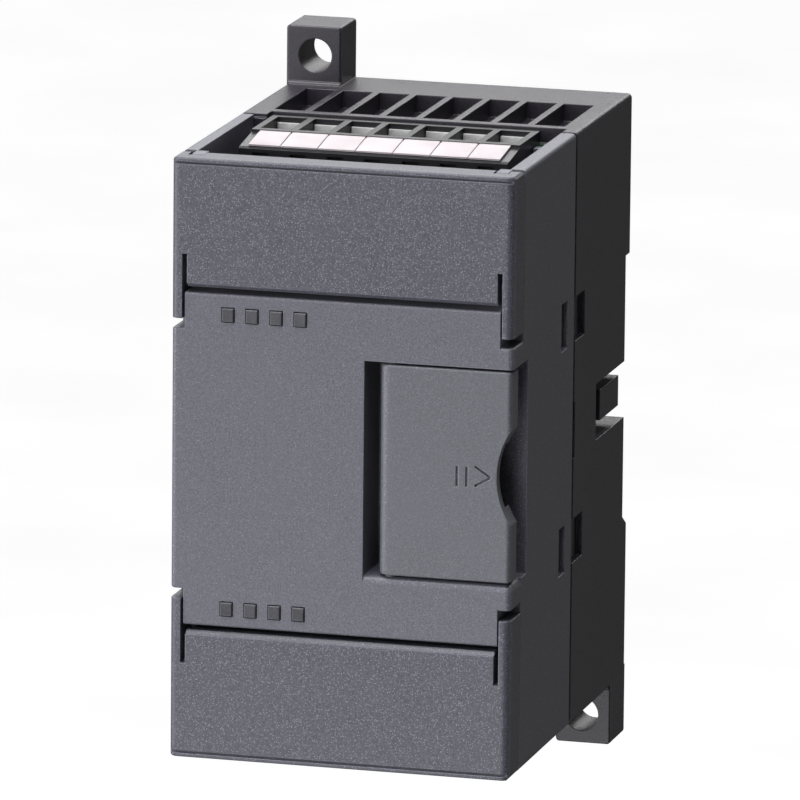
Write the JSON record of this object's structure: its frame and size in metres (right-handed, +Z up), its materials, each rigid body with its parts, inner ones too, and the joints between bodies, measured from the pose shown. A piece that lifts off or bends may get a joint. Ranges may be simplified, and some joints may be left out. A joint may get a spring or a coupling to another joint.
{
  "type": "plc expansion module",
  "caption": "Slim rail-mounted controller expansion module with hinged terminal covers, a hinged port door, screw terminals and a sliding rail clip.",
  "frame": {"origin": "centre of the seat that lies on the mounting rail, at mid-width and mid-height of the housing", "axes": "+Z up along the housing's height, +X to the right seen from the front, +Y to the back, out of the rail seat"},
  "size_m": [0.046, 0.062, 0.096],
  "materials": {
    "housing_plastic": "spark-eroded fine texture, anthracite",
    "base_plastic": "fine texture, anthracite",
    "cover_plastic": "coarse spark-eroded texture, anthracite",
    "door_plastic": "fine texture, anthracite",
    "clip_plastic": "fine texture, black-grey",
    "terminal_plastic": "satin, dark grey",
    "label_white": "satin white",
    "tinned_brass": "tinned",
    "board_laminate": "solder resist over glass laminate",
    "header_plastic": "black moulding",
    "gold_pins": "gold flash",
    "light_pipe": "clear moulding",
    "window_plastic": "smoked tile",
    "lamp_lens": "green lens",
    "chip_epoxy": "moulded epoxy",
    "tinned_leads": "tinned",
    "ferrite": "sintered ferrite",
    "winding_tape": "polyester tape",
    "capacitor_sleeve": "shrink sleeve",
    "screw_steel": "zinc plated",
    "clamp_steel": "nickel plated"
  },
  "bodies": {
    "housing": {"front_housing": "housing_plastic", "rear_base": "base_plastic", "upper_terminal_block": "terminal_plastic", "lower_terminal_block": "terminal_plastic", "upper_label_strip": "label_white", "lower_label_strip": "label_white", "upper_contacts": "tinned_brass", "lower_contacts": "tinned_brass", "logic_board": "board_laminate", "main_board": "board_laminate", "port_header": "header_plastic", "port_header_pins": "gold_pins", "board_stacker": "header_plastic", "board_stacker_pins": "gold_pins", "cable_header": "header_plastic", "light_pipe": "light_pipe", "window_tiles": "window_plastic", "status_light": "lamp_lens", "logic_chip": "chip_epoxy", "converter_chips": "chip_epoxy", "logic_board_leads": "tinned_leads", "transformer_core": "ferrite", "transformer_winding": "winding_tape", "filter_capacitors": "capacitor_sleeve", "power_inductor": "ferrite", "optocouplers": "chip_epoxy", "optocoupler_leads": "tinned_leads"},
    "upper_cover": {"upper_cover": "cover_plastic"},
    "lower_cover": {"lower_cover": "cover_plastic"},
    "port_door": {"port_door": "door_plastic"},
    "rail_clip": {"rail_clip": "clip_plastic"},
    "upper_screw_1": {"upper_screw_1": "screw_steel"},
    "upper_clamp_1": {"upper_clamp_1": "clamp_steel"},
    "upper_screw_2": {"upper_screw_2": "screw_steel"},
    "upper_clamp_2": {"upper_clamp_2": "clamp_steel"},
    "upper_screw_3": {"upper_screw_3": "screw_steel"},
    "upper_clamp_3": {"upper_clamp_3": "clamp_steel"},
    "upper_screw_4": {"upper_screw_4": "screw_steel"},
    "upper_clamp_4": {"upper_clamp_4": "clamp_steel"},
    "upper_screw_5": {"upper_screw_5": "screw_steel"},
    "upper_clamp_5": {"upper_clamp_5": "clamp_steel"},
    "upper_screw_6": {"upper_screw_6": "screw_steel"},
    "upper_clamp_6": {"upper_clamp_6": "clamp_steel"},
    "upper_screw_7": {"upper_screw_7": "screw_steel"},
    "upper_clamp_7": {"upper_clamp_7": "clamp_steel"},
    "lower_screw_1": {"lower_screw_1": "screw_steel"},
    "lower_clamp_1": {"lower_clamp_1": "clamp_steel"},
    "lower_screw_2": {"lower_screw_2": "screw_steel"},
    "lower_clamp_2": {"lower_clamp_2": "clamp_steel"},
    "lower_screw_3": {"lower_screw_3": "screw_steel"},
    "lower_clamp_3": {"lower_clamp_3": "clamp_steel"},
    "lower_screw_4": {"lower_screw_4": "screw_steel"},
    "lower_clamp_4": {"lower_clamp_4": "clamp_steel"},
    "lower_screw_5": {"lower_screw_5": "screw_steel"},
    "lower_clamp_5": {"lower_clamp_5": "clamp_steel"},
    "lower_screw_6": {"lower_screw_6": "screw_steel"},
    "lower_clamp_6": {"lower_clamp_6": "clamp_steel"},
    "lower_screw_7": {"lower_screw_7": "screw_steel"},
    "lower_clamp_7": {"lower_clamp_7": "clamp_steel"}
  },
  "joints": [
    {"name": "upper_cover_hinge", "type": "hinge", "parent": "housing", "child": "upper_cover", "pos_m": [0, -0.0554, 0.0385], "axis": [-1, 0, 0], "range_deg": [0, 95]},
    {"name": "lower_cover_hinge", "type": "hinge", "parent": "housing", "child": "lower_cover", "pos_m": [0, -0.0554, -0.0385], "axis": [1, 0, 0], "range_deg": [0, 95]},
    {"name": "port_door_hinge", "type": "hinge", "parent": "housing", "child": "port_door", "pos_m": [0.0065, -0.0575, 0.0003], "axis": [0, 0, -1], "range_deg": [0, 115]},
    {"name": "rail_clip_slide", "type": "slide", "parent": "housing", "child": "rail_clip", "axis": [0, 0, -1], "range_m": [0, 0.004]},
    {"name": "upper_screw_1_turn", "type": "hinge", "parent": "housing", "child": "upper_screw_1", "pos_m": [-0.016, -0.0373, 0.031], "axis": [0, 1, 0], "range_deg": [0, 1800]},
    {"name": "upper_clamp_1_slide", "type": "slide", "parent": "housing", "child": "upper_clamp_1", "axis": [0, -1, 0], "range_m": [0, 0.0025]},
    {"name": "upper_screw_2_turn", "type": "hinge", "parent": "housing", "child": "upper_screw_2", "pos_m": [-0.01092, -0.0373, 0.031], "axis": [0, 1, 0], "range_deg": [0, 1800]},
    {"name": "upper_clamp_2_slide", "type": "slide", "parent": "housing", "child": "upper_clamp_2", "axis": [0, -1, 0], "range_m": [0, 0.0025]},
    {"name": "upper_screw_3_turn", "type": "hinge", "parent": "housing", "child": "upper_screw_3", "pos_m": [-0.00584, -0.0373, 0.031], "axis": [0, 1, 0], "range_deg": [0, 1800]},
    {"name": "upper_clamp_3_slide", "type": "slide", "parent": "housing", "child": "upper_clamp_3", "axis": [0, -1, 0], "range_m": [0, 0.0025]},
    {"name": "upper_screw_4_turn", "type": "hinge", "parent": "housing", "child": "upper_screw_4", "pos_m": [-0.00076, -0.0373, 0.031], "axis": [0, 1, 0], "range_deg": [0, 1800]},
    {"name": "upper_clamp_4_slide", "type": "slide", "parent": "housing", "child": "upper_clamp_4", "axis": [0, -1, 0], "range_m": [0, 0.0025]},
    {"name": "upper_screw_5_turn", "type": "hinge", "parent": "housing", "child": "upper_screw_5", "pos_m": [0.00432, -0.0373, 0.031], "axis": [0, 1, 0], "range_deg": [0, 1800]},
    {"name": "upper_clamp_5_slide", "type": "slide", "parent": "housing", "child": "upper_clamp_5", "axis": [0, -1, 0], "range_m": [0, 0.0025]},
    {"name": "upper_screw_6_turn", "type": "hinge", "parent": "housing", "child": "upper_screw_6", "pos_m": [0.0094, -0.0373, 0.031], "axis": [0, 1, 0], "range_deg": [0, 1800]},
    {"name": "upper_clamp_6_slide", "type": "slide", "parent": "housing", "child": "upper_clamp_6", "axis": [0, -1, 0], "range_m": [0, 0.0025]},
    {"name": "upper_screw_7_turn", "type": "hinge", "parent": "housing", "child": "upper_screw_7", "pos_m": [0.01448, -0.0373, 0.031], "axis": [0, 1, 0], "range_deg": [0, 1800]},
    {"name": "upper_clamp_7_slide", "type": "slide", "parent": "housing", "child": "upper_clamp_7", "axis": [0, -1, 0], "range_m": [0, 0.0025]},
    {"name": "lower_screw_1_turn", "type": "hinge", "parent": "housing", "child": "lower_screw_1", "pos_m": [-0.016, -0.0373, -0.031], "axis": [0, 1, 0], "range_deg": [0, 1800]},
    {"name": "lower_clamp_1_slide", "type": "slide", "parent": "housing", "child": "lower_clamp_1", "axis": [0, -1, 0], "range_m": [0, 0.0025]},
    {"name": "lower_screw_2_turn", "type": "hinge", "parent": "housing", "child": "lower_screw_2", "pos_m": [-0.01092, -0.0373, -0.031], "axis": [0, 1, 0], "range_deg": [0, 1800]},
    {"name": "lower_clamp_2_slide", "type": "slide", "parent": "housing", "child": "lower_clamp_2", "axis": [0, -1, 0], "range_m": [0, 0.0025]},
    {"name": "lower_screw_3_turn", "type": "hinge", "parent": "housing", "child": "lower_screw_3", "pos_m": [-0.00584, -0.0373, -0.031], "axis": [0, 1, 0], "range_deg": [0, 1800]},
    {"name": "lower_clamp_3_slide", "type": "slide", "parent": "housing", "child": "lower_clamp_3", "axis": [0, -1, 0], "range_m": [0, 0.0025]},
    {"name": "lower_screw_4_turn", "type": "hinge", "parent": "housing", "child": "lower_screw_4", "pos_m": [-0.00076, -0.0373, -0.031], "axis": [0, 1, 0], "range_deg": [0, 1800]},
    {"name": "lower_clamp_4_slide", "type": "slide", "parent": "housing", "child": "lower_clamp_4", "axis": [0, -1, 0], "range_m": [0, 0.0025]},
    {"name": "lower_screw_5_turn", "type": "hinge", "parent": "housing", "child": "lower_screw_5", "pos_m": [0.00432, -0.0373, -0.031], "axis": [0, 1, 0], "range_deg": [0, 1800]},
    {"name": "lower_clamp_5_slide", "type": "slide", "parent": "housing", "child": "lower_clamp_5", "axis": [0, -1, 0], "range_m": [0, 0.0025]},
    {"name": "lower_screw_6_turn", "type": "hinge", "parent": "housing", "child": "lower_screw_6", "pos_m": [0.0094, -0.0373, -0.031], "axis": [0, 1, 0], "range_deg": [0, 1800]},
    {"name": "lower_clamp_6_slide", "type": "slide", "parent": "housing", "child": "lower_clamp_6", "axis": [0, -1, 0], "range_m": [0, 0.0025]},
    {"name": "lower_screw_7_turn", "type": "hinge", "parent": "housing", "child": "lower_screw_7", "pos_m": [0.01448, -0.0373, -0.031], "axis": [0, 1, 0], "range_deg": [0, 1800]},
    {"name": "lower_clamp_7_slide", "type": "slide", "parent": "housing", "child": "lower_clamp_7", "axis": [0, -1, 0], "range_m": [0, 0.0025]}
  ],
  "couplings": [
    {"joint": "upper_screw_1_turn", "follows": "upper_clamp_1_slide", "rad_per_m": 12566},
    {"joint": "upper_screw_2_turn", "follows": "upper_clamp_2_slide", "rad_per_m": 12566},
    {"joint": "upper_screw_3_turn", "follows": "upper_clamp_3_slide", "rad_per_m": 12566},
    {"joint": "upper_screw_4_turn", "follows": "upper_clamp_4_slide", "rad_per_m": 12566},
    {"joint": "upper_screw_5_turn", "follows": "upper_clamp_5_slide", "rad_per_m": 12566},
    {"joint": "upper_screw_6_turn", "follows": "upper_clamp_6_slide", "rad_per_m": 12566},
    {"joint": "upper_screw_7_turn", "follows": "upper_clamp_7_slide", "rad_per_m": 12566},
    {"joint": "lower_screw_1_turn", "follows": "lower_clamp_1_slide", "rad_per_m": 12566},
    {"joint": "lower_screw_2_turn", "follows": "lower_clamp_2_slide", "rad_per_m": 12566},
    {"joint": "lower_screw_3_turn", "follows": "lower_clamp_3_slide", "rad_per_m": 12566},
    {"joint": "lower_screw_4_turn", "follows": "lower_clamp_4_slide", "rad_per_m": 12566},
    {"joint": "lower_screw_5_turn", "follows": "lower_clamp_5_slide", "rad_per_m": 12566},
    {"joint": "lower_screw_6_turn", "follows": "lower_clamp_6_slide", "rad_per_m": 12566},
    {"joint": "lower_screw_7_turn", "follows": "lower_clamp_7_slide", "rad_per_m": 12566}
  ]
}
